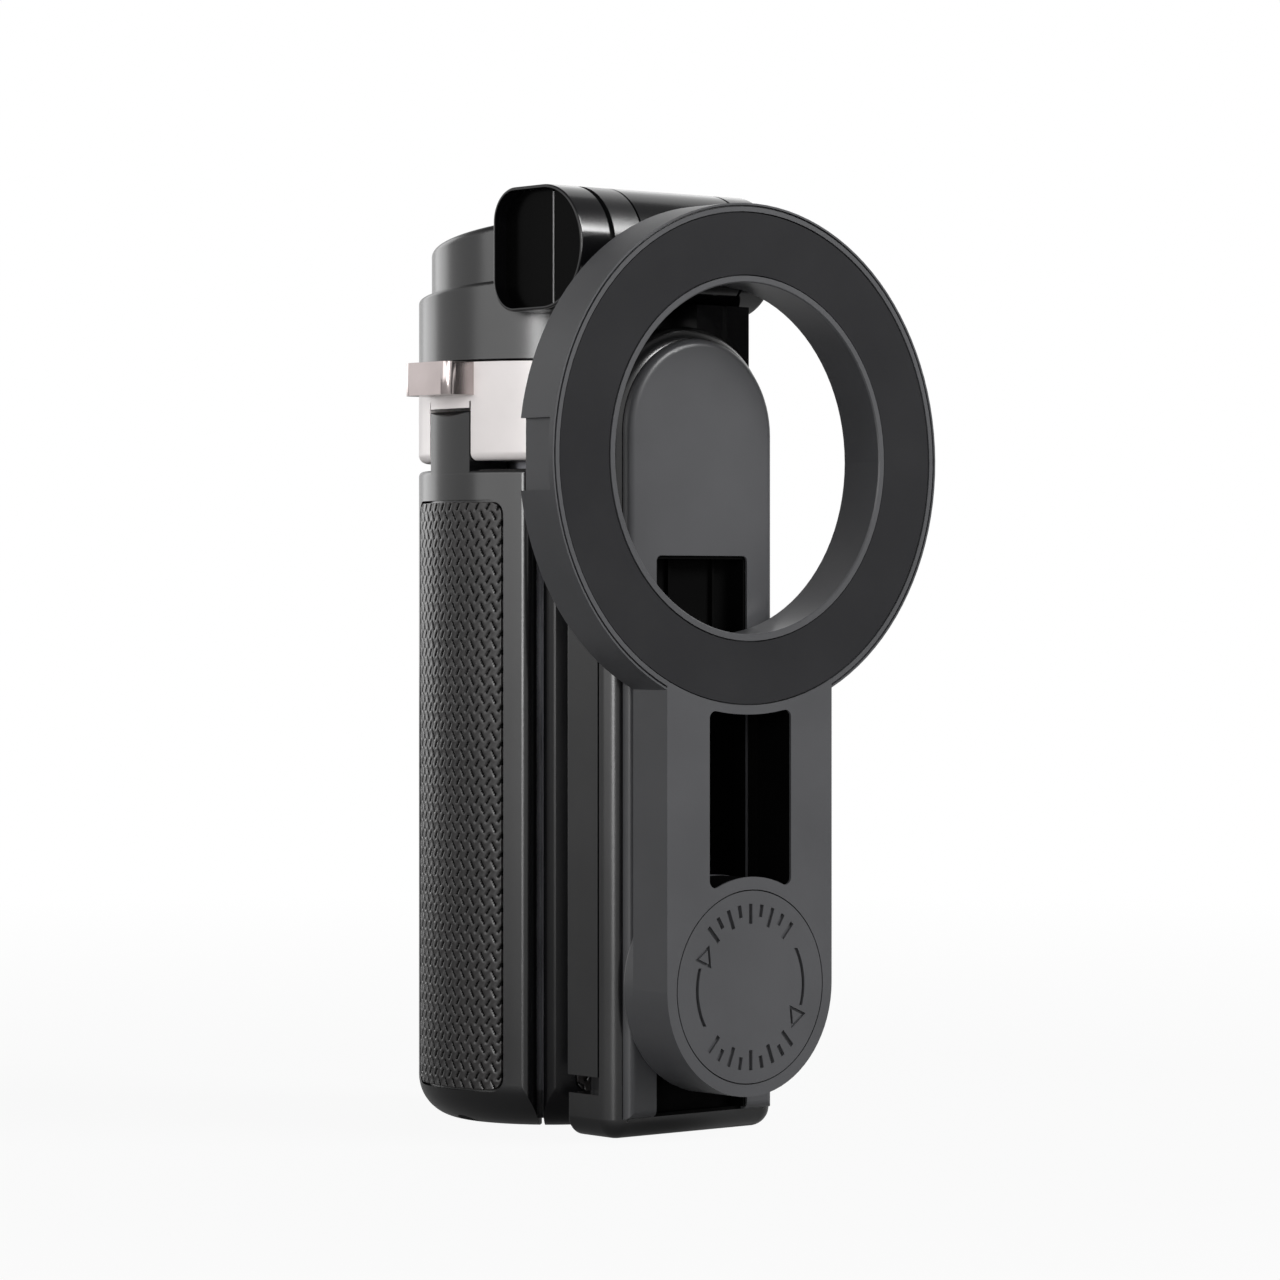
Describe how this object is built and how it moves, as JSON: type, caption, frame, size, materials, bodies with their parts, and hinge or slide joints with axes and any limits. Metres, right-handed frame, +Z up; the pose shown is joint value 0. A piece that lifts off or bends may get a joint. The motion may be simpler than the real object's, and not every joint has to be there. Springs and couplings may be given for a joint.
{
  "type": "gimbal stabilizer",
  "caption": "Folding magnetic phone gimbal with motorised ring arm on a telescopic tripod handle, stowed upright",
  "frame": {"origin": "bottom centre of the bounding box of the folded object, on the floor it stands on", "axes": "+Z up along the handle, -Y towards the phone side of the ring, +X to the right seen from the phone side"},
  "size_m": [0.0606, 0.054, 0.1141],
  "materials": {
    "body_black": "fine satin moulded plastic",
    "pad_rubber": "matt soft rubber",
    "magnet": "nickel plated",
    "steel": "brushed",
    "winding": "enamelled copper colour",
    "tube_aluminium": "dark anodised",
    "gloss_black": "polished black plastic",
    "cell_wrap": "foil pouch",
    "board": "solder-masked board",
    "pearl_silver": "pearl silver paint",
    "grip_rubber": "woven-look moulded rubber"
  },
  "bodies": {
    "handle": {"leg_collar": "pearl_silver", "leg_pins": "steel", "strap_lug": "pearl_silver", "outer_tube": "tube_aluminium", "tube_plug": "body_black", "front_spine": "body_black", "grip_front": "grip_rubber"},
    "left_leg": {"leg_left": "body_black", "grip_left": "grip_rubber", "foot_left": "pad_rubber"},
    "right_leg": {"leg_right": "body_black", "grip_right": "grip_rubber", "foot_right": "pad_rubber"},
    "back_leg": {"leg_back": "body_black", "grip_back": "grip_rubber", "foot_back": "pad_rubber"},
    "pole_lower": {"pole_section_1": "tube_aluminium"},
    "pole_middle": {"pole_section_2": "tube_aluminium"},
    "head": {"pole_section_3": "tube_aluminium", "head_collar": "body_black", "head_core": "body_black", "head_cap": "body_black", "cap_screws": "steel", "hinge_cheek": "gloss_black", "cheek_inlay": "gloss_black", "hinge_pin": "steel", "pin_nut": "steel", "hinge_washer": "steel"},
    "arm": {"arm_housing": "body_black", "housing_cover": "body_black", "cover_screws": "steel", "battery": "cell_wrap", "control_board": "board", "usb_port": "steel", "hinge_knuckle": "gloss_black", "barrel_end_cap": "gloss_black"},
    "button": {"power_button": "gloss_black"},
    "slider": {"slide_frame": "body_black", "recess_liner": "gloss_black", "front_plate": "body_black", "guide_rods": "steel", "friction_strip": "steel", "motor_post": "tube_aluminium", "motor_bearings": "steel", "motor_stator": "winding"},
    "ring": {"ring_arm": "body_black", "window_liner": "gloss_black", "ring_pad": "pad_rubber", "magnet_ring": "magnet", "pivot_disc": "body_black", "boss_cover": "body_black", "motor_bell": "steel", "motor_magnets": "magnet"}
  },
  "joints": [
    {"name": "left_leg_swing", "type": "hinge", "parent": "handle", "child": "left_leg", "pos_m": [-0.0135, 0.0103, 0.0844], "axis": [0, 1, 0], "range_deg": [0, 70]},
    {"name": "right_leg_swing", "type": "hinge", "parent": "handle", "child": "right_leg", "pos_m": [0.0135, 0.0103, 0.0844], "axis": [0, -1, 0], "range_deg": [0, 70]},
    {"name": "back_leg_swing", "type": "hinge", "parent": "handle", "child": "back_leg", "pos_m": [0, 0.0238, 0.0844], "axis": [1, 0, 0], "range_deg": [0, 70]},
    {"name": "pole_lower_slide", "type": "slide", "parent": "handle", "child": "pole_lower", "axis": [0, 0, 1], "range_m": [0, 0.06]},
    {"name": "pole_middle_slide", "type": "slide", "parent": "pole_lower", "child": "pole_middle", "axis": [0, 0, 1], "range_m": [0, 0.06]},
    {"name": "pole_upper_slide", "type": "slide", "parent": "pole_middle", "child": "head", "axis": [0, 0, 1], "range_m": [0, 0.06]},
    {"name": "arm_fold", "type": "hinge", "parent": "head", "child": "arm", "pos_m": [0, -0.0081, 0.10655], "axis": [-1, 0, 0], "range_deg": [0, 140]},
    {"name": "button_press", "type": "slide", "parent": "arm", "child": "button", "axis": [-1, 0, 0], "range_m": [0, 0.0004], "stiffness_N_per_m": 500, "springref_m": -0.0004},
    {"name": "arm_extend", "type": "slide", "parent": "arm", "child": "slider", "axis": [0, 0, -1], "range_m": [0, 0.025]},
    {"name": "ring_turn", "type": "hinge", "parent": "slider", "child": "ring", "pos_m": [0, -0.023, 0.01825], "axis": [0, -1, 0], "continuous": true}
  ]
}
